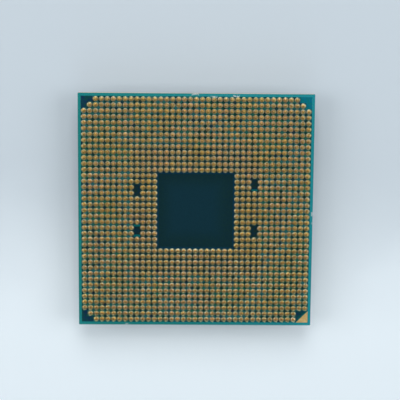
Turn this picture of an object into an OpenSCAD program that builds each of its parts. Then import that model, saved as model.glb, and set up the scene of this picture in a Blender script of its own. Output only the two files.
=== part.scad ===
// Lidded processor package with a square field of contact pins.
// It lies on the bare face of its heat spreader, pins up, with its origin in the middle of that face.

/* [Pin field] */
// Pin places along each side of the square grid
pins_per_side = 39; // [33:2:45]
// Distance between neighbouring pins
pin_pitch = 1; // [0.9:0.05:1.3]
// Pin places left free along each side of the bare middle
void_places = 13; // [7:2:17]
// Columns from the middle of the grid out to the key gaps
key_column = 10; // [8:1:14]
// Pins left out of one column at each key gap
key_places = 2; // [1:1:3]
// Pins left out along each edge at the three plain corners
corner_places = 2; // [0:1:4]
// Pins left out along each edge at the marked corner
mark_places = 2; // [2:1:4]

/* [Pins] */
// Diameter of a pin
pin_d = 0.3; // [0.2:0.02:0.4]
// Height of the pin ends above the board
pin_h = 1.5; // [1:0.1:3]
// Chamfer around the end of a pin
pin_chamfer = 0.08; // [0.02:0.01:0.09]
// Diameter of the soldered foot on its land
foot_d = 0.88; // [0.6:0.02:0.9]
// Height of the soldered foot
foot_h = 0.2; // [0.12:0.02:0.4]
// Thickness of the land under the foot
land_t = 0.03; // [0.02:0.01:0.06]
// Width of the flat ledge of the foot around the pin
foot_ledge = 0.03; // [0.01:0.01:0.08]

/* [Board] */
// Distance from the outer pins to the edge of the board
edge_margin = 1; // [0.9:0.05:2]
// Thickness of the board
board_t = 1.2; // [0.8:0.1:1.6]
// Radius of the board's corners
board_r = 0.15; // [0.1:0.05:0.6]
// Length of each leg of the triangular corner marks
mark_leg = 2; // [1:0.1:2.4]
// Distance from the corner marks to the edges of the board
mark_inset = 0.5; // [0.3:0.05:0.6]
// Thickness of the corner marks
mark_t = 0.03; // [0.02:0.01:0.08]

/* [Heat spreader] */
// Height of the heat spreader, from its rim to its outer face
spreader_h = 3.3; // [2.8:0.1:4]
// Distance from the board's edge to the edge of the flange
flange_inset = 1.2; // [0.8:0.1:2.5]
// Thickness of the flange
flange_t = 1.3; // [1:0.1:1.6]
// Radius of the flange's corners
flange_r = 2; // [1.6:0.1:3]
// Width of the step from the flange to the raised face
flange_step = 1.3; // [0.6:0.1:1.8]
// Radius of the raised face's corners
face_r = 2.6; // [1.5:0.1:4]
// Chamfer around the raised face
face_chamfer = 0.3; // [0.1:0.05:0.6]
// Chamfer around the flange
flange_chamfer = 0.15; // [0.05:0.05:0.3]
// Width of the rim that is glued to the board
rim_w = 2.8; // [2.2:0.1:3.6]
// Depth of the hollow inside the rim
hollow_h = 1.05; // [1:0.05:1.25]
// Radius of the hollow's corners
hollow_r = 1.6; // [0.8:0.1:2.4]

/* [Seal] */
// Thickness of the seal between the rim and the board
seal_t = 0.12; // [0.08:0.02:0.2]
// Distance from the seal to the edges of the rim
seal_setback = 0.4; // [0.2:0.05:0.7]
// Width of the breathing gap in the seal
seal_gap = 3; // [1:0.5:6]

/* [Die] */
// Length of the die
die_l = 22; // [14:0.5:23]
// Width of the die
die_w = 9.7; // [7:0.1:11]
// Thickness of the die
die_t = 0.78; // [0.6:0.02:0.84]
// Height of the joints between the die and the board
die_gap = 0.07; // [0.05:0.01:0.1]
// Reach of the underfill past the die at the board
underfill_reach = 1; // [0.5:0.1:1.4]
// Height to which the underfill climbs the sides of the die
underfill_climb = 0.5; // [0.3:0.05:0.55]
// Reach of the underfill past the die at its upper edge
underfill_lip = 0.08; // [0.04:0.02:0.2]

/* [Capacitors] */
// Length of a capacitor
cap_l = 1; // [0.8:0.1:1.2]
// Width and height of a capacitor
cap_w = 0.5; // [0.4:0.05:0.6]
// Length of a metal end of a capacitor
cap_end_l = 0.25; // [0.15:0.05:0.3]
// Thickness of a metal end of a capacitor
cap_end_t = 0.03; // [0.02:0.01:0.05]
// Capacitors in each row along the die
caps_along = 9; // [3:2:11]
// Capacitors in the row at each end of the die
caps_across = 4; // [2:1:5]
// Distance between neighbouring capacitors of a row
cap_pitch = 2.2; // [1.8:0.1:2.4]
// Distance between the two rows along the die
cap_row_pitch = 2; // [1.4:0.1:2.6]
// Distance from the underfill to the first row
cap_clearance = 1.2; // [0.9:0.1:1.6]

/* [Hidden] */
$fn = 48;
// Overlap that lets a cut run clear through a face
through = 0.5;
// The middle row and column of the grid
middle = (pins_per_side + 1) / 2;
// Rows and columns from the middle to the edge of the bare middle
void_reach = (void_places - 1) / 2;
// The four banks of pins, each along one side of the bare middle and on past its corner
back = 0;
right = 1;
front = 2;
left = 3;
// Columns on which key gaps lie, and the row at which each begins, counted from the middle
key_gaps = [[-key_column, -4], [-key_column, 3], [key_column, -5], [key_column, 3]];
board_w = (pins_per_side - 1) * pin_pitch + 2 * edge_margin;
flange_w = board_w - 2 * flange_inset;
face_w = flange_w - 2 * flange_step;
hollow_w = flange_w - 2 * rim_w;
// Heights of the faces that the pieces meet at
hollow_z = spreader_h - hollow_h;
seal_z = spreader_h;
board_z = seal_z + seal_t;
pins_z = board_z + board_t;
die_z = board_z - die_gap - die_t;
// Radius of the flat top of a foot
foot_top_r = pin_d / 2 + foot_ledge;
// Middle lines of the capacitor rows
first_row_y = die_w / 2 + underfill_reach + cap_clearance;
end_row_x = die_l / 2 + underfill_reach + cap_clearance;

// Which places of the grid carry a pin; columns run along +X and rows along -Y
function from_edge(place) = min(place, pins_per_side + 1 - place);
function in_void(place) = abs(place - middle) <= void_reach;
function past_start(row, gap) = row - middle - gap[1];
function in_key_gap(column, row) =
    len([for (gap = key_gaps)
        if (column - middle == gap[0] && past_start(row, gap) >= 0 && past_start(row, gap) < key_places)
            gap]) > 0;
function in_corner(column, row) =
    column > middle && row > middle
        ? max(from_edge(column), from_edge(row)) <= mark_places
        : from_edge(column) + from_edge(row) <= corner_places + 1;
function has_pin(column, row) =
    !(in_void(column) && in_void(row)) && !in_key_gap(column, row) && !in_corner(column, row);

// Which bank a place outside the bare middle belongs to, from its columns and rows off the middle
function bank_of(across, up) =
    up > void_reach && across <= void_reach ? back
    : across > void_reach && up >= -void_reach ? right
    : up < -void_reach && across >= -void_reach ? front
    : left;

module at_each_pin(bank) {
    for (row = [1 : pins_per_side]) {
        for (column = [1 : pins_per_side]) {
            if (has_pin(column, row) && bank_of(column - middle, middle - row) == bank)
                translate([(column - middle) * pin_pitch, (middle - row) * pin_pitch, pins_z])
                    children();
        }
    }
}

// Square outline with round corners
module round_square(w, r) {
    square([w, w - 2 * r], center = true);
    square([w - 2 * r, w], center = true);
    for (x = [-1, 1], y = [-1, 1])
        translate([x, y] * (w / 2 - r))
            circle(r);
}

// Half of the upright section of a plate, chamfered at its lower edge
module plate_section(half_w, h, chamfer) {
    polygon([[0, 0], [half_w - chamfer, 0], [half_w, chamfer], [half_w, h], [0, h]]);
}

// Square plate with round corners and a chamfer all around its lower face
module chamfered_plate(w, r, h, chamfer) {
    for (turn = [0 : 90 : 270])
        rotate(turn) {
            rotate([90, 0, 0])
                linear_extrude(w - 2 * r, center = true)
                    plate_section(w / 2, h, chamfer);
            translate([w / 2 - r, w / 2 - r])
                rotate_extrude()
                    plate_section(r, h, chamfer);
        }
}

// Block that narrows from its lower to its upper face
module sloped_block(low, high, h) {
    intersection() {
        rotate([90, 0, 0])
            linear_extrude(low[1] + high[1], center = true)
                slope_section(low[0], high[0], h);
        rotate([90, 0, 90])
            linear_extrude(low[0] + high[0], center = true)
                slope_section(low[1], high[1], h);
    }
}

module slope_section(low, high, h) {
    polygon([[-low / 2, 0], [low / 2, 0], [high / 2, h], [-high / 2, h]]);
}

module corner_triangle() {
    corner = board_w / 2 - mark_inset;
    linear_extrude(mark_t)
        polygon([[corner, -corner], [corner - mark_leg, -corner], [corner, mark_leg - corner]]);
}

// Places of the capacitors, with their long side along +X
module at_each_capacitor() {
    for (side = [-1, 1]) {
        for (row = [0, 1], n = [0 : caps_along - 1])
            translate([(n - (caps_along - 1) / 2) * cap_pitch,
                       side * (first_row_y + row * cap_row_pitch), board_z])
                children();
        for (n = [0 : caps_across - 1])
            translate([side * end_row_x, (n - (caps_across - 1) / 2) * cap_pitch, board_z])
                rotate(90)
                    children();
    }
}

module substrate() {
    color("darkslategray")
        translate([0, 0, board_z])
            linear_extrude(board_t)
                round_square(board_w, board_r);
}

module pin_side_mark() {
    color("goldenrod")
        translate([0, 0, pins_z])
            corner_triangle();
}

module lid_side_mark() {
    color("goldenrod")
        translate([0, 0, board_z - mark_t])
            corner_triangle();
}

// Soldered foot of each pin of a bank: its land, and the solder that climbs to the pin
module soldered_feet(bank) {
    color("burlywood")
        at_each_pin(bank)
            rotate_extrude()
                polygon([[0, 0], [foot_d / 2, 0], [foot_d / 2, land_t], [foot_top_r, foot_h], [0, foot_h]]);
}

// Straight pins of a bank, chamfered at their ends
module straight_pins(bank) {
    end_r = pin_d / 2 - pin_chamfer;
    color("darkgoldenrod")
        at_each_pin(bank)
            rotate_extrude()
                polygon([[0, foot_h], [pin_d / 2, foot_h], [pin_d / 2, pin_h - pin_chamfer],
                         [end_r, pin_h], [0, pin_h]]);
}

module feet_back() {
    soldered_feet(back);
}

module feet_right() {
    soldered_feet(right);
}

module feet_front() {
    soldered_feet(front);
}

module feet_left() {
    soldered_feet(left);
}

module pins_back() {
    straight_pins(back);
}

module pins_right() {
    straight_pins(right);
}

module pins_front() {
    straight_pins(front);
}

module pins_left() {
    straight_pins(left);
}

module heat_spreader() {
    color("silver")
        difference() {
            union() {
                chamfered_plate(face_w, face_r, spreader_h, face_chamfer);
                translate([0, 0, spreader_h - flange_t])
                    chamfered_plate(flange_w, flange_r, flange_t, flange_chamfer);
            }
            translate([0, 0, hollow_z])
                linear_extrude(hollow_h + through)
                    round_square(hollow_w, hollow_r);
        }
}

module lid_seal() {
    color("dimgray")
        translate([0, 0, seal_z])
            linear_extrude(seal_t)
                difference() {
                    round_square(flange_w - 2 * seal_setback, flange_r - seal_setback);
                    round_square(hollow_w + 2 * seal_setback, hollow_r + seal_setback);
                    translate([-seal_gap / 2, 0])
                        square([seal_gap, flange_w]);
                }
}

module processor_die() {
    color("slategray")
        translate([-die_l / 2, -die_w / 2, die_z])
            cube([die_l, die_w, die_t]);
}

module underfill() {
    low = [die_l, die_w] + 2 * underfill_reach * [1, 1];
    high = [die_l, die_w] + 2 * underfill_lip * [1, 1];
    color("black")
        difference() {
            translate([0, 0, board_z])
                mirror([0, 0, 1])
                    sloped_block(low, high, die_gap + underfill_climb);
            translate([-die_l / 2, -die_w / 2, die_z])
                cube([die_l, die_w, die_t]);
        }
}

module die_solder() {
    color("gainsboro")
        translate([-die_l / 2, -die_w / 2, hollow_z])
            cube([die_l, die_w, die_z - hollow_z]);
}

// Ceramic block, laid under the board
module capacitor_block() {
    translate([-cap_l / 2 + cap_end_t, -cap_w / 2 + cap_end_t, -cap_w + cap_end_t])
        cube([cap_l, cap_w, cap_w] - 2 * cap_end_t * [1, 1, 1]);
}

module capacitor_bodies() {
    color("tan")
        at_each_capacitor()
            capacitor_block();
}

module capacitor_ends() {
    color("lightgray")
        at_each_capacitor()
            difference() {
                for (side = [-1, 1])
                    translate([side * (cap_l - cap_end_l) / 2, 0, -cap_w / 2])
                        cube([cap_end_l, cap_w, cap_w], center = true);
                capacitor_block();
            }
}

substrate();
pin_side_mark();
lid_side_mark();
feet_back();
feet_right();
feet_front();
feet_left();
pins_back();
pins_right();
pins_front();
pins_left();
heat_spreader();
lid_seal();
processor_die();
underfill();
die_solder();
capacitor_bodies();
capacitor_ends();
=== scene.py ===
"""Looks of a lidded processor package: its field of soldered pins and the finish of every piece."""

import logging
import math
import random
from collections.abc import Callable, Iterator, Sequence
from dataclasses import dataclass
from enum import Enum

import bpy
import numpy as np
from mathutils import Matrix, Vector


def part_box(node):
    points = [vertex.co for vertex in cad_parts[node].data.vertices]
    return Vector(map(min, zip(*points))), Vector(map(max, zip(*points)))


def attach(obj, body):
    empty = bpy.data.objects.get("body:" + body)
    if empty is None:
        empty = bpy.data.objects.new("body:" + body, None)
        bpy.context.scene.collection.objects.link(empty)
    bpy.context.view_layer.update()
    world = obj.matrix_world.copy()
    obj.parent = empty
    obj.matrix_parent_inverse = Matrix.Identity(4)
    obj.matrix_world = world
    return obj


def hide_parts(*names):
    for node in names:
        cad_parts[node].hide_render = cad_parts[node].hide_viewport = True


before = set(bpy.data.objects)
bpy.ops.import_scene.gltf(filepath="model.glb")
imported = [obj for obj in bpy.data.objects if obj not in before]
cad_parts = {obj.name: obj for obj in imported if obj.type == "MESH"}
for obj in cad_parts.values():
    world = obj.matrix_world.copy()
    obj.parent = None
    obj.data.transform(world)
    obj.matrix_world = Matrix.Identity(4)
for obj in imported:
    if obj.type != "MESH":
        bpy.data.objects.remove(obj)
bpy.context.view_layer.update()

MM = 0.001
LOG = logging.getLogger("package")

# The curve between screen colours and linear ones.
SCREEN_TOP = 255
CURVE_START = 0.04045
CURVE_SLOPE = 12.92
CURVE_SHIFT = 0.055
CURVE_POWER = 2.4

# Least share of a face's normal along Z with which it counts as level.
LEVEL = 0.9

Colour = tuple[float, float, float, float]
Point = tuple[float, float, float]
Socket = bpy.types.NodeSocket
Feed = Socket | float | Colour | Point
Pair = tuple[float, float]
Box = tuple[Pair, Pair]
Tones = tuple[Colour, Colour]


def paint(red: int, green: int, blue: int) -> Colour:
    """Turns a screen colour into the linear colour that shaders take.

    Args:
        red: Red from 0 to 255.
        green: Green from 0 to 255.
        blue: Blue from 0 to 255.

    Returns:
        The linear colour with full alpha.
    """
    linear = []
    for value in (red, green, blue):
        share = value / SCREEN_TOP
        if share <= CURVE_START:
            linear.append(share / CURVE_SLOPE)
        else:
            linear.append(((share + CURVE_SHIFT) / (1 + CURVE_SHIFT)) ** CURVE_POWER)
    return (*linear, 1.0)


def clear_selection() -> None:
    """Leaves edit mode and deselects every object."""
    if bpy.context.object and bpy.context.object.mode != "OBJECT":
        bpy.ops.object.mode_set(mode="OBJECT")
    bpy.ops.object.select_all(action="DESELECT")


def pick_faces(piece: bpy.types.Object, wanted: Callable[[Vector], bool]) -> None:
    """Selects faces of a piece and leaves it in edit mode.

    Args:
        piece: The active mesh object.
        wanted: Says from a face's normal whether it is selected.
    """
    bpy.ops.object.mode_set(mode="OBJECT")
    bpy.context.tool_settings.mesh_select_mode = (False, False, True)
    mesh = piece.data
    for element in (*mesh.vertices, *mesh.edges):
        element.select = False
    for face in mesh.polygons:
        face.select = wanted(face.normal)
    bpy.ops.object.mode_set(mode="EDIT")


class Bank(Enum):
    """The four banks of pins around the bare middle."""

    BACK = "back"
    RIGHT = "right"
    FRONT = "front"
    LEFT = "left"


class NodeBench:
    """Adds the nodes of one material or of the sky and links them."""

    def __init__(self, owner: bpy.types.Material | bpy.types.World) -> None:
        """Starts from the plain shader that a new material or world has.

        Args:
            owner: The new material or world.
        """
        owner.use_nodes = True
        self.owner = owner
        self.tree = owner.node_tree
        is_sky = isinstance(owner, bpy.types.World)
        self.shader = self.tree.nodes["Background" if is_sky else "Principled BSDF"]

    def feed(self, socket: Socket, value: Feed) -> None:
        """Links a socket to another one, or sets its value.

        Args:
            socket: The input that is fed.
            value: The output that it is linked to, or a plain value.
        """
        if isinstance(value, bpy.types.NodeSocket):
            self.tree.links.new(value, socket)
        else:
            socket.default_value = value

    def surface(self, name: str, value: Feed) -> None:
        """Feeds one of the shader's own sockets."""
        self.feed(self.shader.inputs[name], value)

    def millimetres(self) -> Socket:
        """Measures the surface in the piece's own coordinates.

        Returns:
            The socket of the place in millimetres.
        """
        coordinates = self.tree.nodes.new("ShaderNodeTexCoord")
        return self.scale(coordinates.outputs["Object"], 1 / MM)

    def split(self, vector: Socket) -> tuple[Socket, Socket, Socket]:
        """Takes a vector apart.

        Args:
            vector: A vector or a colour.

        Returns:
            The sockets of its three coordinates.
        """
        parts = self.tree.nodes.new("ShaderNodeSeparateXYZ")
        self.feed(parts.inputs[0], vector)
        return parts.outputs[0], parts.outputs[1], parts.outputs[2]

    def join(self, first: Feed, second: Feed, third: Feed) -> Socket:
        """Makes a vector of three coordinates.

        Args:
            first: Coordinate along X.
            second: Coordinate along Y.
            third: Coordinate along Z.

        Returns:
            The socket of the vector.
        """
        whole = self.tree.nodes.new("ShaderNodeCombineXYZ")
        for socket, value in zip(whole.inputs, (first, second, third)):
            self.feed(socket, value)
        return whole.outputs[0]

    def math(self, operation: str, first: Feed, second: Feed = 0.0) -> Socket:
        """Does one sum.

        Args:
            operation: Blender's name of the sum.
            first: First value.
            second: Second value, for the sums that take one.

        Returns:
            The socket of the result.
        """
        node = self.tree.nodes.new("ShaderNodeMath")
        node.operation = operation
        self.feed(node.inputs[0], first)
        self.feed(node.inputs[1], second)
        return node.outputs[0]

    def ramp(
        self, value: Feed, low: float, high: float, start: float = 0.0, end: float = 1.0
    ) -> Socket:
        """Turns a value into a smooth step.

        Args:
            value: The value that is read.
            low: Value at which the step begins.
            high: Value at which the step ends.
            start: Result below the step.
            end: Result above the step.

        Returns:
            The socket of the result.
        """
        node = self.tree.nodes.new("ShaderNodeMapRange")
        node.interpolation_type = "SMOOTHSTEP"
        self.feed(node.inputs["Value"], value)
        settings = {"From Min": low, "From Max": high, "To Min": start, "To Max": end}
        for name, setting in settings.items():
            node.inputs[name].default_value = setting
        return node.outputs["Result"]

    def within(self, limits: Pair, chance: Socket) -> Socket:
        """Returns a value between two limits for a random value from 0 to 1."""
        return self.ramp(chance, 0.0, 1.0, *limits)

    def mix(self, share: Feed, first: Feed, second: Feed) -> Socket:
        """Mixes two colours.

        Args:
            share: Share of the second colour.
            first: First colour.
            second: Second colour.

        Returns:
            The socket of the mixed colour.
        """
        node = self.tree.nodes.new("ShaderNodeMix")
        node.data_type = "RGBA"
        factor, colour_a, colour_b = (node.inputs[place] for place in (0, 6, 7))
        self.feed(factor, share)
        self.feed(colour_a, first)
        self.feed(colour_b, second)
        return node.outputs[2]

    def noise(self, vector: Socket, scale: float, detail: float) -> Socket:
        """Adds soft noise, whose middle is a half.

        Args:
            vector: Coordinates in millimetres.
            scale: Spots for each millimetre.
            detail: Layers of finer noise.

        Returns:
            The socket of the noise.
        """
        node = self.tree.nodes.new("ShaderNodeTexNoise")
        self.feed(node.inputs["Vector"], vector)
        node.inputs["Scale"].default_value = scale
        node.inputs["Detail"].default_value = detail
        return node.outputs["Fac"]

    def chance(self, vector: Socket) -> tuple[Socket, Socket]:
        """Draws a random value and a random colour for each value of a vector.

        Args:
            vector: A vector that is even over each place with a draw of its own.

        Returns:
            The sockets of the value, from 0 to 1, and of the colour.
        """
        node = self.tree.nodes.new("ShaderNodeTexWhiteNoise")
        node.noise_dimensions = "3D"
        self.feed(node.inputs["Vector"], vector)
        return node.outputs["Value"], node.outputs["Color"]

    def length(self, first: Socket, second: Socket) -> Socket:
        """Returns the length of a flat vector."""
        squares = (self.math("MULTIPLY", value, value) for value in (first, second))
        return self.math("SQRT", self.math("ADD", *squares))

    def scale(self, vector: Socket, share: Feed) -> Socket:
        """Multiplies a vector or a colour.

        Args:
            vector: The vector or colour.
            share: What it is multiplied by.

        Returns:
            The socket of the result.
        """
        node = self.tree.nodes.new("ShaderNodeVectorMath")
        node.operation = "SCALE"
        self.feed(node.inputs["Vector"], vector)
        self.feed(node.inputs["Scale"], share)
        return node.outputs["Vector"]

    def boxes(self, x: Socket, y: Socket, boxes: Sequence[Box], soft: float) -> Socket:
        """Masks several rectangles of the board.

        Args:
            x: Coordinate across the board.
            y: Coordinate up the board.
            boxes: Middle and half size of each rectangle.
            soft: Half of the width of their soft edges.

        Returns:
            The socket of the mask, 1 inside any of them and 0 outside.
        """
        whole = 0.0
        for middle, half in boxes:
            reach = []
            for coordinate, centre, size in zip((x, y), middle, half):
                away = self.math("ABSOLUTE", self.math("SUBTRACT", coordinate, centre))
                reach.append(self.math("SUBTRACT", away, size))
            inside = self.ramp(self.math("MAXIMUM", *reach), -soft, soft, 1.0, 0.0)
            whole = self.math("MAXIMUM", whole, inside)
        return whole

    def bump(self, height: Socket, depth: float) -> None:
        """Raises the surface by a pattern.

        Args:
            height: Pattern from 0 to 1.
            depth: Its height in millimetres.
        """
        node = self.tree.nodes.new("ShaderNodeBump")
        node.inputs["Distance"].default_value = depth * MM
        self.feed(node.inputs["Height"], height)
        self.surface("Normal", node.outputs["Normal"])


@dataclass(frozen=True)
class MaskFinish:
    """Solder mask of the board, with the cut laminate at its edges.

    Sizes are in millimetres. A noise has its spots for each millimetre and its layers, an edge
    is the step that a noise or another value is read by, and shine is a range of roughness.
    """

    # Half width of the board, its lowest and highest heights, and its layers.
    half_width: float
    low: float
    high: float
    pitch: float = 1.0
    mask_depth: float = 0.05
    pin_side_depth: Pair = (0.3, 0.2)
    soft_edge: float = 0.06

    # Strip along the edges with no copper under it, and the corners without pins.
    border: float = 0.5
    border_slant: float = 0.35
    corner: float = 2.0
    mark_strip_edge: Pair = (-0.5, -0.3)
    border_teal: Tones = (paint(30, 129, 128), paint(34, 139, 149))
    corner_dark: Tones = (paint(18, 53, 82), paint(16, 68, 68))
    corner_teal: Tones = (paint(6, 108, 133), paint(12, 112, 120))
    strip_teal: Colour = paint(8, 92, 92)

    # Bare middle with its bluer heart, and the key gaps, of which two have teal ends.
    middle_half: Pair = (6.58, 6.3)
    middle_edge: Tones = (paint(8, 50, 73), paint(10, 54, 71))
    middle_dark: Tones = (paint(14, 45, 53), paint(16, 47, 51))
    heart: Box = ((-0.4, 0.2), (4.3, 4.3))
    heart_soft: float = 1.3
    heart_blue: Colour = paint(15, 48, 59)
    key_half: Pair = (0.5, 0.95)
    key_middles: tuple[Pair, ...] = ((-10.0, 3.5), (-10.0, -3.5), (10.0, 4.5), (10.0, -3.5))
    key_ends: tuple[Box, ...] = (
        ((-10.0, -2.6), (0.55, 0.16)),
        ((-10.0, -4.37), (0.55, 0.19)),
        ((10.0, 3.61), (0.5, 0.13)),
    )
    key_dark: Tones = (paint(13, 46, 63), paint(24, 49, 46))
    key_teal: Tones = (paint(6, 106, 120), paint(10, 106, 108))
    tones_noise: Pair = (2.2, 2.0)
    tones_edge: Pair = (0.42, 0.58)

    # Mask between the pins, darker over the copper plane around the middle.
    field_tones: Tones = (paint(36, 102, 106), paint(36, 98, 84))
    field_noise: Pair = (0.35, 2.0)
    field_edge: Pair = (0.38, 0.62)
    plane_half: float = 11.0
    plane_share: float = 0.92
    plane_dark: Colour = paint(34, 66, 67)

    # Brown strips between neighbours of a row, weaker towards the front as painted shade. Distances
    # are shares of the pitch, from the pin.
    half_cell: float = 0.5
    strip_across: Pair = (0.3, 0.42)
    strip_along: Pair = (0.12, 0.26)
    strip_share: float = 0.85
    strip_change: Pair = (0.65, 1.1)
    strip_front_shade: Pair = (0.7, 1.0)
    strip_brown: Colour = paint(122, 95, 24)

    # Plugged holes between four pins. Places and sizes are shares of the pitch.
    hole_place: Pair = (0.38, 0.62)
    hole_radius: Pair = (0.06, 0.24)
    hole_soft: float = 0.16
    hole_chance: Pair = (0.15, 0.5)
    hole_share: Pair = (0.1, 0.92)
    hole_tones: Tones = (paint(22, 40, 60), paint(18, 52, 50))
    hole_edge: Pair = (0.4, 0.6)

    # Sawn edge, and chipped and dusty spots along it.
    laminate: Tones = (paint(238, 226, 202), paint(206, 190, 160))
    layer_noise: Pair = (11.0, 0.0)
    layer_edge: Pair = (0.42, 0.58)
    cut_roughness: float = 0.75
    spots: tuple[Box, ...] = (
        ((-0.23, 19.92), (0.6, 0.18)),
        ((2.94, 19.44), (0.6, 0.1)),
        ((6.72, 19.62), (0.5, 0.17)),
        ((19.88, -0.47), (0.12, 0.35)),
        ((19.93, -2.03), (0.1, 0.17)),
        ((-11.75, -19.88), (0.2, 0.12)),
    )
    spot_soft: float = 0.1
    dust_noise: Pair = (5.0, 3.0)
    dust_edge: Pair = (0.44, 0.56)
    chipped: Colour = paint(206, 214, 216)

    # Fine texture of the mask.
    fine_noise: Pair = (9.0, 3.0)
    shade_edge: Pair = (0.25, 0.75)
    shade: Pair = (0.88, 1.12)
    shine_edge: Pair = (0.2, 0.8)
    shine: Pair = (0.4, 0.54)
    gloss: float = 0.06
    relief: float = 0.006

    def material(self) -> bpy.types.Material:
        """Makes the material of the board.

        Returns:
            The finished material.
        """
        bench = NodeBench(bpy.data.materials.new("solder_mask"))
        place = bench.millimetres()
        x, y, z = bench.split(place)
        fine = bench.noise(place, *self.fine_noise)
        face = self.face(bench, place, x, y, z)
        face = bench.scale(face, bench.ramp(fine, *self.shade_edge, *self.shade))
        worn = self.wear(bench, place, x, y)
        face = bench.mix(worn, face, self.chipped)
        cut = self.cut_edge(bench, z)
        layers = bench.noise(bench.join(0.0, 0.0, z), *self.layer_noise)
        edge = bench.mix(bench.ramp(layers, *self.layer_edge), *self.laminate)
        bench.surface("Base Color", bench.mix(cut, face, edge))
        rough = bench.ramp(fine, *self.shine_edge, *self.shine)
        rough_cut = bench.math("MULTIPLY", cut, self.cut_roughness)
        bench.surface("Roughness", bench.math("MAXIMUM", rough, rough_cut))
        bench.surface("Specular IOR Level", self.gloss)
        bench.bump(bench.math("ADD", fine, worn), self.relief)
        return bench.owner

    def face(self, bench: NodeBench, place: Socket, x: Socket, y: Socket, z: Socket) -> Socket:
        """Colours both faces of the board.

        Args:
            bench: Bench of the material.
            place: Coordinates in millimetres.
            x: Coordinate across the board.
            y: Coordinate up the board.
            z: Height.

        Returns:
            The socket of the colour, without wear.
        """
        face = self.field(bench, place, x, y)
        shift = bench.ramp(bench.noise(place, *self.tones_noise), *self.tones_edge)
        for tones, boxes in self.patches():
            inside = bench.boxes(x, y, boxes, self.soft_edge)
            face = bench.mix(inside, face, bench.mix(shift, *tones))
        heart = bench.boxes(x, y, [self.heart], self.heart_soft)
        face = bench.mix(heart, face, self.heart_blue)
        face = bench.mix(self.mark_strip(bench, x, y), face, self.strip_teal)
        start, end = (self.high - depth for depth in self.pin_side_depth)
        lid_side = bench.ramp(z, start, end, 1.0, 0.0)
        face = bench.mix(lid_side, face, bench.mix(shift, *self.middle_dark))
        across = bench.math("ADD", x, bench.math("MULTIPLY", y, self.border_slant))
        shift = bench.ramp(across, -self.half_width, self.half_width)
        border = bench.mix(shift, *self.border_teal)
        return bench.mix(self.border_strip(bench, x, y), face, border)

    def border_strip(self, bench: NodeBench, x: Socket, y: Socket) -> Socket:
        """Masks the strip along the board's edges that has no copper under it.

        Args:
            bench: Bench of the material.
            x: Coordinate across the board.
            y: Coordinate up the board.

        Returns:
            The socket of the mask.
        """
        away = bench.math("MAXIMUM", bench.math("ABSOLUTE", x), bench.math("ABSOLUTE", y))
        start = self.half_width - self.border
        return bench.ramp(away, start - self.soft_edge, start + self.soft_edge)

    def field(self, bench: NodeBench, place: Socket, x: Socket, y: Socket) -> Socket:
        """Colours the mask between the pins, with its brown strips and dark plugged holes.

        Args:
            bench: Bench of the material.
            place: Coordinates in millimetres.
            x: Coordinate across the board.
            y: Coordinate up the board.

        Returns:
            The socket of the colour.
        """
        cloud = bench.ramp(bench.noise(place, *self.field_noise), *self.field_edge)
        tone = bench.mix(cloud, *self.field_tones)
        plane_box = ((0.0, 0.0), (self.plane_half, self.plane_half))
        plane = bench.boxes(x, y, [plane_box], self.soft_edge)
        tone = bench.mix(bench.math("MULTIPLY", plane, self.plane_share), tone, self.plane_dark)
        cells = [bench.math("DIVIDE", value, self.pitch) for value in (x, y)]
        corner = bench.join(*(bench.math("FLOOR", cell) for cell in cells), 0.0)
        chance, colour = bench.chance(corner)
        shift_x, shift_y, size = bench.split(colour)
        change = bench.within(self.strip_change, shift_y)
        strip = bench.math("MULTIPLY", self.row_strip(bench, cells, y), change)
        tone = bench.mix(strip, tone, self.strip_brown)
        along = []
        for cell, shift in zip(cells, (shift_x, shift_y)):
            middle = bench.within(self.hole_place, shift)
            along.append(bench.math("SUBTRACT", bench.math("FRACT", cell), middle))
        radius = bench.within(self.hole_radius, size)
        past = bench.math("SUBTRACT", bench.length(*along), radius)
        drilled = bench.ramp(chance, *self.hole_chance, *self.hole_share)
        inside = bench.math("MULTIPLY", bench.ramp(past, 0.0, self.hole_soft, 1.0, 0.0), drilled)
        hole = bench.mix(bench.ramp(shift_x, *self.hole_edge), *self.hole_tones)
        return bench.mix(inside, tone, hole)

    def row_strip(self, bench: NodeBench, cells: Sequence[Socket], y: Socket) -> Socket:
        """Masks the strips between neighbours of a row, which weaken towards the front as painted
        shade.

        Args:
            bench: Bench of the material.
            cells: Coordinates across and up the board, in pitches.
            y: Coordinate up the board.

        Returns:
            The socket of the mask.
        """
        across, along = (bench.math("PINGPONG", cell, self.half_cell) for cell in cells)
        between = bench.math(
            "MULTIPLY",
            bench.ramp(across, *self.strip_across),
            bench.ramp(along, *self.strip_along, self.strip_share, 0.0))
        # Painted shade: the strips weaken towards the front, so the gaps there are darker.
        front_shade = bench.ramp(y, -self.half_width, 0.0, *self.strip_front_shade)
        return bench.math("MULTIPLY", between, front_shade)

    def steps(self, side: int, end: int) -> list[Box]:
        """Covers a corner's missing pins with two rectangles.

        Args:
            side: 1 for the right corners and -1 for the left ones.
            end: 1 for the back corners and -1 for the front ones.

        Returns:
            Middle and half size of each rectangle.
        """
        outer = self.half_width - self.border
        near, far = outer - self.pitch / 2, outer - self.pitch
        half = (self.pitch, self.pitch / 2)
        return [((side * far, end * near), half), ((side * near, end * far), half[::-1])]

    def marked_square(self) -> Box:
        """Returns the square of missing pins in the marked corner."""
        middle = self.half_width - self.border - self.corner / 2
        return (middle, -middle), (self.corner / 2, self.corner / 2)

    def patches(self) -> list[tuple[Tones, Sequence[Box]]]:
        """Lists the places without pins.

        Returns:
            Each pair of tones with its rectangles.
        """
        rim, inner = (((0.0, 0.0), (half, half)) for half in self.middle_half)
        keys = [(middle, self.key_half) for middle in self.key_middles]
        dark_corners = [*self.steps(-1, 1), *self.steps(-1, -1), self.marked_square()]
        return [
            (self.middle_edge, [rim]),
            (self.middle_dark, [inner]),
            (self.key_dark, keys),
            (self.key_teal, self.key_ends),
            (self.corner_dark, dark_corners),
            (self.corner_teal, self.steps(1, 1)),
        ]

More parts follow.
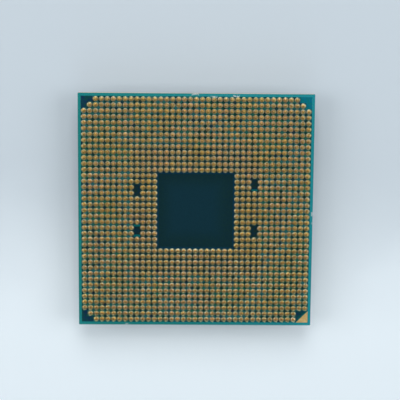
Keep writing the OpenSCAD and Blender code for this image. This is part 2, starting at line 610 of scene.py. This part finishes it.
    def mark_strip(self, bench: NodeBench, x: Socket, y: Socket) -> Socket:
        """Masks the strip beside the marked corner's triangle.

        Args:
            bench: Bench of the material.
            x: Coordinate across the board.
            y: Coordinate up the board.

        Returns:
            The socket of the mask.
        """
        middle, half = self.marked_square()
        slant = bench.math("SUBTRACT", x, y)
        past = bench.math("SUBTRACT", slant, middle[0] - middle[1])
        inside = bench.boxes(x, y, [(middle, half)], self.soft_edge)
        return bench.math("MULTIPLY", inside, bench.ramp(past, *self.mark_strip_edge))

    def wear(self, bench: NodeBench, place: Socket, x: Socket, y: Socket) -> Socket:
        """Masks the chipped and dusty spots along the board's edges.

        Args:
            bench: Bench of the material.
            place: Coordinates in millimetres.
            x: Coordinate across the board.
            y: Coordinate up the board.

        Returns:
            The socket of the mask.
        """
        dust = bench.ramp(bench.noise(place, *self.dust_noise), *self.dust_edge)
        return bench.math("MULTIPLY", bench.boxes(x, y, self.spots, self.spot_soft), dust)

    def cut_edge(self, bench: NodeBench, z: Socket) -> Socket:
        """Masks the sawn laminate between the two mask layers.

        Args:
            bench: Bench of the material.
            z: Height.

        Returns:
            The socket of the mask.
        """
        thin, thick = self.mask_depth / 2, self.mask_depth
        above = bench.ramp(z, self.low + thin, self.low + thick)
        below = bench.ramp(z, self.high - thick, self.high - thin, 1.0, 0.0)
        return bench.math("MULTIPLY", above, below)


@dataclass(frozen=True)
class PlateFinish:
    """Gold plate of the pins and their feet, which differs a little from pin to pin.

    Sizes are in millimetres. A noise has its spots for each millimetre and its layers, an edge
    is the step that a noise or another value is read by, and shine is a range of roughness.
    """

    name: str
    base: Colour
    yellow: Colour
    pink: Colour
    stain: Colour
    shine: Pair
    pitch: float = 1.0

    # Tones of the heart of each foot, of the pins' lower ends (painted light) and of the front rows
    # (painted cool light).
    core: Colour | None = None
    core_reach: Pair = (0.18, 0.29)
    core_share: float = 0.9
    root: Colour | None = None
    lit_root_reach: Pair = (0.0, 1.0)
    front: Colour | None = None
    front_light_reach: Pair = (-21.0, 2.0)
    front_light_share: float = 0.85

    # Slow drift over the field and mottle on each pin, and what they and chance add to a tone.
    drift_noise: Pair = (0.16, 1.0)
    drift_edge: Pair = (0.4, 0.6)
    mottle_noise: Pair = (4.5, 2.0)
    mottle_edge: Pair = (0.38, 0.62)
    warm_chance: float = 0.25
    warm_drift: float = 0.3
    warm_mottle: float = 0.45
    warm_edge: Pair = (0.3, 0.9)
    flush_chance: float = 0.5
    flush_drift: float = 0.5
    flush_edge: Pair = (0.5, 1.0)
    flush_share: float = 0.5

    # Light and dark specks, stains and fine grain.
    speck_noise: Pair = (3.5, 2.0)
    speck_edge: Pair = (0.35, 0.65)
    speck_shade: Pair = (0.7, 1.3)
    grain_noise: Pair = (14.0, 2.0)
    grain_edge: Pair = (0.3, 0.7)
    stain_edge: Pair = (0.5, 0.7)
    stain_chance: Pair = (0.4, 1.0)
    stain_share: float = 0.7
    relief: float = 0.004

    def material(self) -> bpy.types.Material:
        """Makes the material of the pins or of their feet.

        Returns:
            The finished material.
        """
        bench = NodeBench(bpy.data.materials.new(self.name))
        place = bench.millimetres()
        x, y, z = bench.split(place)
        shifted = (bench.math("ADD", value, self.pitch / 2) for value in (x, y))
        near_x, near_y = (bench.math("SNAP", value, self.pitch) for value in shifted)
        nearest = bench.join(near_x, near_y, 0.0)
        first, second, third = bench.split(bench.chance(nearest)[1])
        tone = self.plate_tone(bench, place, nearest, first, second)
        if self.core:
            off = (bench.math("SUBTRACT", x, near_x), bench.math("SUBTRACT", y, near_y))
            inside = bench.ramp(bench.length(*off), *self.core_reach, self.core_share, 0.0)
            tone = bench.mix(inside, tone, self.core)
        # Painted cool light: the pins of the front rows turn greyer.
        if self.front:
            front_lit = bench.ramp(near_y, *self.front_light_reach, self.front_light_share, 0.0)
            tone = bench.mix(front_lit, tone, self.front)
        # Painted light: the pins' lower ends are brightened.
        if self.root:
            tone = bench.mix(bench.ramp(z, *self.lit_root_reach, 1.0, 0.0), tone, self.root)
        grain = bench.noise(place, *self.grain_noise)
        specks = bench.noise(place, *self.speck_noise)
        tone = bench.scale(tone, bench.ramp(specks, *self.speck_edge, *self.speck_shade))
        stained = bench.ramp(third, *self.stain_chance, 0.0, self.stain_share)
        stains = bench.math("MULTIPLY", bench.ramp(grain, *self.stain_edge), stained)
        bench.surface("Base Color", bench.mix(stains, tone, self.stain))
        bench.surface("Metallic", 1.0)
        bench.surface("Roughness", bench.ramp(grain, *self.grain_edge, *self.shine))
        bench.bump(grain, self.relief)
        return bench.owner

    def plate_tone(
        self, bench: NodeBench, place: Socket, nearest: Socket, first: Socket, second: Socket
    ) -> Socket:
        """Mixes the plate's three tones.

        Args:
            bench: Bench of the material.
            place: Coordinates in millimetres.
            nearest: Place of the nearest pin.
            first: Random value of that pin, for the yellow.
            second: Another one, for the pink.

        Returns:
            The socket of the colour.
        """
        drift = bench.noise(nearest, *self.drift_noise)
        mottle = bench.noise(place, *self.mottle_noise)
        warm = bench.math(
            "ADD",
            bench.math("MULTIPLY", first, self.warm_chance),
            bench.ramp(drift, *self.drift_edge, 0.0, self.warm_drift))
        mottled = bench.ramp(mottle, *self.mottle_edge, 0.0, self.warm_mottle)
        warm = bench.math("ADD", warm, mottled)
        tone = bench.mix(bench.ramp(warm, *self.warm_edge), self.base, self.yellow)
        flush = bench.math(
            "ADD",
            bench.math("MULTIPLY", second, self.flush_chance),
            bench.ramp(drift, *self.drift_edge, self.flush_drift, 0.0))
        flushed = bench.ramp(flush, *self.flush_edge, 0.0, self.flush_share)
        return bench.mix(flushed, tone, self.pink)


@dataclass(frozen=True)
class MetalFinish:
    """Bare or plated metal with a fine texture and a slow cloud of tone.

    Its shine is the least and the most roughness, and its depth is in millimetres.
    """

    name: str
    light: Colour
    dark: Colour
    shine: Pair
    depth: float = 0.004
    metal: float = 1.0
    fine_noise: Pair = (16.0, 3.0)
    fine_edge: Pair = (0.3, 0.7)
    cloud_noise: Pair = (0.4, 3.0)
    cloud_edge: Pair = (0.35, 0.65)

    def material(self) -> bpy.types.Material:
        """Makes the material of a metal piece.

        Returns:
            The finished material.
        """
        bench = NodeBench(bpy.data.materials.new(self.name))
        place = bench.millimetres()
        fine = bench.noise(place, *self.fine_noise)
        cloud = bench.noise(place, *self.cloud_noise)
        tone = bench.mix(bench.ramp(cloud, *self.cloud_edge), self.light, self.dark)
        bench.surface("Base Color", tone)
        bench.surface("Metallic", self.metal)
        bench.surface("Roughness", bench.ramp(fine, *self.fine_edge, *self.shine))
        bench.bump(fine, self.depth)
        return bench.owner


@dataclass(frozen=True)
class MouldedFinish:
    """Ceramic, resin or sealant with a fine mottle.

    Its shine is the least and the most roughness, and its depth is in millimetres.
    """

    name: str
    light: Colour
    dark: Colour
    shine: Pair
    depth: float = 0.006
    mottle_noise: Pair = (6.0, 3.0)
    mottle_edge: Pair = (0.3, 0.7)

    def material(self) -> bpy.types.Material:
        """Makes the material of a moulded piece.

        Returns:
            The finished material.
        """
        bench = NodeBench(bpy.data.materials.new(self.name))
        mottle = bench.noise(bench.millimetres(), *self.mottle_noise)
        tone = bench.mix(bench.ramp(mottle, *self.mottle_edge), self.light, self.dark)
        bench.surface("Base Color", tone)
        bench.surface("Roughness", bench.ramp(mottle, *self.mottle_edge, *self.shine))
        bench.bump(mottle, self.depth)
        return bench.owner


@dataclass
class PinField:
    """The field of soldered pins: which places carry one, and the two shapes that repeat."""

    per_side: int = 39
    pitch: float = 1.0 * MM
    bare_middle: int = 13

    # Column and first row of each key gap, counted from the middle, along +X and -Y.
    keys: tuple[tuple[int, int], ...] = ((-10, -4), (-10, 3), (10, -5), (10, 3))
    key_rows: int = 2

    # A plain corner lacks the places whose counts from two edges add up to no more than the first
    # number, and the marked corner those with no count above the second.
    plain_corner: int = 3
    marked_corner: int = 2

    # The two shapes, and the most that a pin leans. An end is rounded by a share of its chamfer.
    pin_radius: float = 0.15 * MM
    pin_chamfer: float = 0.08 * MM
    end_round: float = 0.35
    foot_radius: float = 0.44 * MM
    land: float = 0.03 * MM
    meniscus: float = 0.015 * MM
    ledge_radius: float = 0.18 * MM
    pin_sides: int = 10
    foot_sides: int = 12
    smooth_angle: float = math.radians(50)
    lean: float = math.radians(1.0)

    # Shares of a copy's square in the baking map, and a distance that is safe to divide by.
    map_middle: float = 0.5
    map_reach: float = 0.46
    map_corner: float = 0.06
    least_away: float = 1e-9

    foot_plate: PlateFinish = PlateFinish(
        "foot_gold",
        base=paint(154, 156, 132),
        yellow=paint(164, 152, 98),
        pink=paint(174, 146, 120),
        stain=paint(122, 105, 72),
        shine=(0.34, 0.5),
        core=paint(204, 142, 50),
    )
    pin_plate: PlateFinish = PlateFinish(
        "pin_gold",
        base=paint(168, 157, 98),
        yellow=paint(174, 155, 85),
        pink=paint(179, 152, 99),
        stain=paint(129, 112, 77),
        shine=(0.58, 0.7),
        # Painted light: brighter lower ends of the pins.
        root=paint(230, 184, 120),
        lit_root_reach=(4.9, 6.0),
        # Painted cool light: greyer pins in the front rows.
        front=paint(168, 172, 138),
    )

    def __post_init__(self) -> None:
        """Reads the heights that the pins stand between."""
        self.board_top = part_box("substrate")[1].z
        self.foot_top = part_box("feet_back")[1].z
        self.pin_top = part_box("pins_back")[1].z

    def has_pin(self, column: int, row: int) -> bool:
        """Says whether a place of the grid carries a pin.

        Args:
            column: Column from 1, along +X.
            row: Row from 1, along -Y.

        Returns:
            True where there is a pin.
        """
        middle = (self.per_side + 1) // 2
        across, down = column - middle, row - middle
        reach = self.bare_middle // 2
        in_middle = abs(across) <= reach and abs(down) <= reach
        in_key = any(
            across == key and down - start in range(self.key_rows) for key, start in self.keys)
        from_edge = [min(place, self.per_side + 1 - place) for place in (column, row)]
        if across > 0 and down > 0:
            in_corner = max(from_edge) <= self.marked_corner
        else:
            in_corner = sum(from_edge) <= self.plain_corner
        return not (in_middle or in_key or in_corner)

    def places(self) -> Iterator[Vector]:
        """Walks through the grid, row by row from the back.

        Yields:
            The place of each pin on the board.
        """
        middle = (self.per_side + 1) // 2
        for row in range(1, self.per_side + 1):
            for column in range(1, self.per_side + 1):
                if self.has_pin(column, row):
                    yield Vector((column - middle, middle - row, 0)) * self.pitch

    def turned(self, name: str, sides: int, profile: Sequence[Pair]) -> bpy.types.Object:
        """Models a round upright piece on the middle of the board.

        Args:
            name: Name of the piece.
            sides: Sides of its round.
            profile: Radius and height of each ring, from the lowest to the highest.

        Returns:
            The piece.
        """
        clear_selection()
        (radius, low), (next_radius, next_height) = profile[:2]
        depth = next_height - low
        bpy.ops.mesh.primitive_cylinder_add(
            vertices=sides, radius=radius, depth=depth, location=(0, 0, low + depth / 2))
        piece = bpy.context.object
        piece.name = name
        bpy.ops.object.transform_apply(location=True, rotation=True, scale=True)
        pick_faces(piece, lambda normal: normal.z > LEVEL)
        self.narrow(next_radius / radius, next_height)
        for (radius, low), (next_radius, next_height) in zip(profile[1:], profile[2:]):
            rise = (0, 0, next_height - low)
            bpy.ops.mesh.extrude_region_move(TRANSFORM_OT_translate={"value": rise})
            self.narrow(next_radius / radius, next_height)
        bpy.ops.object.mode_set(mode="OBJECT")
        bpy.ops.object.shade_smooth_by_angle(angle=self.smooth_angle)
        return piece

    @staticmethod
    def narrow(share: float, height: float) -> None:
        """Scales the selected ring towards the axis."""
        bpy.ops.transform.resize(value=(share, share, 1), center_override=(0, 0, height))

    def build_foot(self) -> bpy.types.Object:
        """Models one soldered foot: its land and the slightly hollow cone of solder up to the pin.

        Returns:
            The foot on the middle of the board.
        """
        rim = self.board_top + self.land
        half_radius = (self.foot_radius + self.ledge_radius) / 2
        half_height = (rim + self.foot_top) / 2
        profile = [
            (self.foot_radius, self.board_top),
            (self.foot_radius, rim),
            (half_radius, half_height - self.meniscus),
            (self.ledge_radius, self.foot_top),
        ]
        return self.turned("soldered_feet", self.foot_sides, profile)

    def build_pin(self) -> bpy.types.Object:
        """Models one straight pin with its rounded chamfer.

        Returns:
            The pin on the middle of the board.
        """
        shoulder = self.pin_top - self.pin_chamfer
        drawn_in = self.pin_chamfer * self.end_round
        profile = [
            (self.pin_radius, self.foot_top),
            (self.pin_radius, shoulder),
            (self.pin_radius - drawn_in, self.pin_top - drawn_in),
            (self.pin_radius - self.pin_chamfer, self.pin_top),
        ]
        return self.turned("gold_pins", self.pin_sides, profile)

    def spread(self, piece: bpy.types.Object, lean: float) -> bpy.types.Object:
        """Copies a piece to every place and joins the copies.

        Args:
            piece: The piece on the middle of the board.
            lean: Most that a copy leans over, in radians.

        Returns:
            One piece that holds all the copies.
        """
        draw = random.Random(piece.name)
        foot = Matrix.Translation((0, 0, self.foot_top))
        copies = []
        for place in self.places():
            copy = piece.copy()
            copy.data = piece.data.copy()
            turn = Matrix.Rotation(draw.uniform(0, math.tau), 4, "Z")
            angle = draw.uniform(0, lean)
            tilt = Matrix.Rotation(angle, 4, (draw.uniform(-1, 1), draw.uniform(-1, 1), 0))
            copy.data.transform(Matrix.Translation(place) @ foot @ tilt @ turn @ foot.inverted())
            bpy.context.collection.objects.link(copy)
            copies.append(copy)
        name = piece.name
        bpy.data.objects.remove(piece)
        clear_selection()
        for copy in copies:
            copy.select_set(True)
        bpy.context.view_layer.objects.active = copies[0]
        bpy.ops.object.join()
        joined = bpy.context.object
        joined.name = name
        joined.data.name = name
        self.map_copies(joined, len(copies))
        return joined

    def map_copies(self, piece: bpy.types.Object, count: int) -> None:
        """Gives each copy its own square of the piece's baking map, unrolled around its axis.

        Args:
            piece: The joined piece.
            count: Number of copies in it, which all have the same faces.
        """
        mesh = piece.data
        points = np.empty(len(mesh.vertices) * 3)
        mesh.vertices.foreach_get("co", points)
        corners = np.empty(len(mesh.loops), dtype=int)
        mesh.loops.foreach_get("vertex_index", corners)
        normals = np.empty(len(mesh.polygons) * 3)
        mesh.polygons.foreach_get("normal", normals)
        sizes = np.empty(len(mesh.polygons), dtype=int)
        mesh.polygons.foreach_get("loop_total", sizes)
        under = np.repeat(normals.reshape(-1, 3)[:, 2] < -LEVEL, sizes)
        place = points.reshape(-1, 3)[corners] / self.pitch
        cell = np.round(place.reshape(count, -1, 3)[:, :, :2].mean(axis=1))
        cell = np.repeat(cell, len(corners) // count, axis=0)
        off = place[:, :2] - cell
        away = np.hypot(off[:, 0], off[:, 1])
        path = away + place[:, 2].max() - place[:, 2]
        reach = np.sqrt(path / path.max()) * self.map_reach
        flat = self.map_middle + off * (reach / np.maximum(away, self.least_away))[:, None]
        flat[under] = self.map_corner * (1 + off[under] / away.max())
        layer = mesh.uv_layers[0]
        layer.name = "OFBake"
        whole = (cell + self.per_side // 2 + flat) / self.per_side
        layer.data.foreach_set("uv", whole.astype(np.float32).ravel())

    def build(self) -> None:
        """Builds the feet and the pins and dresses them."""
        feet = self.spread(self.build_foot(), 0.0)
        feet.data.materials.append(self.foot_plate.material())
        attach(feet, "root")
        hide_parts(*(f"feet_{bank.value}" for bank in Bank))
        pins = self.spread(self.build_pin(), self.lean)
        pins.data.materials.append(self.pin_plate.material())
        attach(pins, "root")
        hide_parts(*(f"pins_{bank.value}" for bank in Bank))
        for piece in (feet, pins):
            LOG.info("%s: %d faces", piece.name, len(piece.data.polygons))


def dress_node(name: str, material: bpy.types.Material) -> None:
    """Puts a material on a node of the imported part.

    Args:
        name: Name of the node.
        material: Its new finish.
    """
    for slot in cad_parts[name].material_slots:
        slot.material = material
    LOG.info("%s: %s", name, material.name)


@dataclass
class Board:
    """The laminate board and the gold triangles in its marked corner."""

    mark_gold: MetalFinish = MetalFinish(
        "mark_gold", paint(230, 192, 134), paint(208, 176, 108), (0.35, 0.5),
        metal=0.25, cloud_noise=(2.2, 3.0))

    def dress(self) -> None:
        """Gives the board and its marks their finish."""
        low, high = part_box("substrate")
        mask = MaskFinish(half_width=high.x / MM, low=low.z / MM, high=high.z / MM)
        dress_node("substrate", mask.material())
        gold = self.mark_gold.material()
        dress_node("pin_side_mark", gold)
        dress_node("lid_side_mark", gold)


@dataclass
class Lid:
    """The heat spreader, its seal and what they close in."""

    nickel: MetalFinish = MetalFinish(
        "nickel_plate", paint(206, 205, 200), paint(199, 198, 194), (0.3, 0.42))
    sealant: MouldedFinish = MouldedFinish(
        "sealant", paint(52, 52, 54), paint(40, 40, 43), (0.6, 0.8))
    silicon: MetalFinish = MetalFinish(
        "silicon", paint(118, 122, 130), paint(104, 108, 118), (0.12, 0.2), depth=0.0005)
    resin: MouldedFinish = MouldedFinish(
        "underfill_resin", paint(38, 38, 42), paint(28, 28, 31), (0.4, 0.55))
    soft_metal: MetalFinish = MetalFinish(
        "soft_metal", paint(206, 206, 208), paint(186, 186, 190), (0.4, 0.6))
    ceramic: MouldedFinish = MouldedFinish(
        "capacitor_ceramic", paint(172, 142, 112), paint(150, 120, 92), (0.5, 0.7))
    tin: MetalFinish = MetalFinish(
        "tin_plate", paint(214, 214, 212), paint(198, 198, 196), (0.25, 0.4))

    def dress(self) -> None:
        """Gives the lid and the pieces under it their finish."""
        finishes = {
            "heat_spreader": self.nickel,
            "lid_seal": self.sealant,
            "processor_die": self.silicon,
            "underfill": self.resin,
            "die_solder": self.soft_metal,
            "capacitor_bodies": self.ceramic,
            "capacitor_ends": self.tin,
        }
        for node, finish in finishes.items():
            dress_node(node, finish.material())


@dataclass(frozen=True)
class Lamp:
    """A square soft light. Its place and its size are in metres, its power is in watts."""

    name: str
    place: Point
    size: float
    power: float
    colour: Point = (1.0, 1.0, 1.0)

    def build(self) -> None:
        """Hangs the lamp and points it at the part."""
        data = bpy.data.lights.new(self.name, "AREA")
        data.shape = "SQUARE"
        data.size = self.size
        data.energy = self.power
        data.color = self.colour
        lamp = bpy.data.objects.new(self.name, data)
        lamp.location = self.place
        lamp.rotation_euler = (-Vector(self.place)).to_track_quat("-Z", "Y").to_euler()
        bpy.context.collection.objects.link(lamp)


@dataclass
class Studio:
    """The floor, the light and the camera."""

    # The floor's size is in metres, its patterns are in millimetres.
    floor_size: float = 4.0
    floor_near: Colour = paint(239, 249, 255)
    floor_far: Colour = paint(205, 216, 224)
    floor_fade: Pair = (-24.0, 10.0)
    floor_noise: Pair = (0.05, 2.0)
    floor_edge: Pair = (0.3, 0.7)
    floor_wander: Pair = (-2.0, 2.0)
    floor_roughness: float = 0.8

    # The sky's strength falls between two heights of the direction.
    sky_colour: Colour = paint(226, 232, 238)
    sky_heights: Pair = (0.3, 0.95)
    sky_strength: Pair = (0.55, 0.1)

    # Place in metres, turn in radians, lens in millimetres.
    camera_place: Point = (-0.0025345, 0.034833, 0.216017)
    camera_turn: Point = (-0.1548, -0.0141, 0.0084)
    camera_lens: float = 113.0
    camera_near: float = 0.01

    lamps: tuple[Lamp, ...] = (
        Lamp("back_lamp", (0.0, 0.4, 0.38), 0.34, 1.35),
        Lamp("left_lamp", (-0.42, 0.06, 0.38), 0.34, 0.95),
        Lamp("right_lamp", (0.42, 0.06, 0.38), 0.34, 0.95),
        Lamp("front_lamp", (0.0, -0.42, 0.36), 0.34, 0.26, (0.85, 1.0, 1.1)),
        Lamp("low_front_lamp", (0.0, -0.5, 0.1), 0.3, 0.28, (0.8, 1.0, 1.12)),
    )

    def build(self) -> None:
        """Sets up all of the studio."""
        self.build_floor()
        self.build_sky()
        for lamp in self.lamps:
            lamp.build()
        self.build_camera()
        bpy.context.scene.view_settings.view_transform = "Standard"

    def build_floor(self) -> None:
        """Lays the pale floor that the part lies on."""
        clear_selection()
        bpy.ops.mesh.primitive_plane_add(size=self.floor_size, location=(0, 0, 0))
        floor = bpy.context.object
        floor.name = "floor"
        bench = NodeBench(bpy.data.materials.new("floor_paint"))
        place = bench.millimetres()
        mottle = bench.noise(place, *self.floor_noise)
        wander = bench.ramp(mottle, *self.floor_edge, *self.floor_wander)
        along = bench.math("ADD", bench.split(place)[1], wander)
        far = bench.ramp(along, *self.floor_fade)
        bench.surface("Base Color", bench.mix(far, self.floor_near, self.floor_far))
        bench.surface("Roughness", self.floor_roughness)
        floor.data.materials.append(bench.owner)

    def build_sky(self) -> None:
        """Lights the scene softly from all round, and less from straight above."""
        world = bpy.data.worlds.new("soft_room")
        bench = NodeBench(world)
        direction = bench.tree.nodes.new("ShaderNodeTexCoord")
        height = bench.split(direction.outputs["Generated"])[2]
        bench.surface("Color", self.sky_colour)
        bench.surface("Strength", bench.ramp(height, *self.sky_heights, *self.sky_strength))
        bpy.context.scene.world = world

    def build_camera(self) -> None:
        """Puts the camera where the photograph was taken from."""
        data = bpy.data.cameras.new("camera")
        data.lens = self.camera_lens
        data.clip_start = self.camera_near
        camera = bpy.data.objects.new("camera", data)
        camera.location = self.camera_place
        camera.rotation_euler = self.camera_turn
        bpy.context.collection.objects.link(camera)
        bpy.context.scene.camera = camera


def main() -> None:
    """Builds and dresses the part, then the studio around it."""
    logging.basicConfig(level=logging.INFO, format="%(name)s %(message)s")
    PinField().build()
    Board().dress()
    Lid().dress()
    Studio().build()


if __name__ == "__main__":
    main()
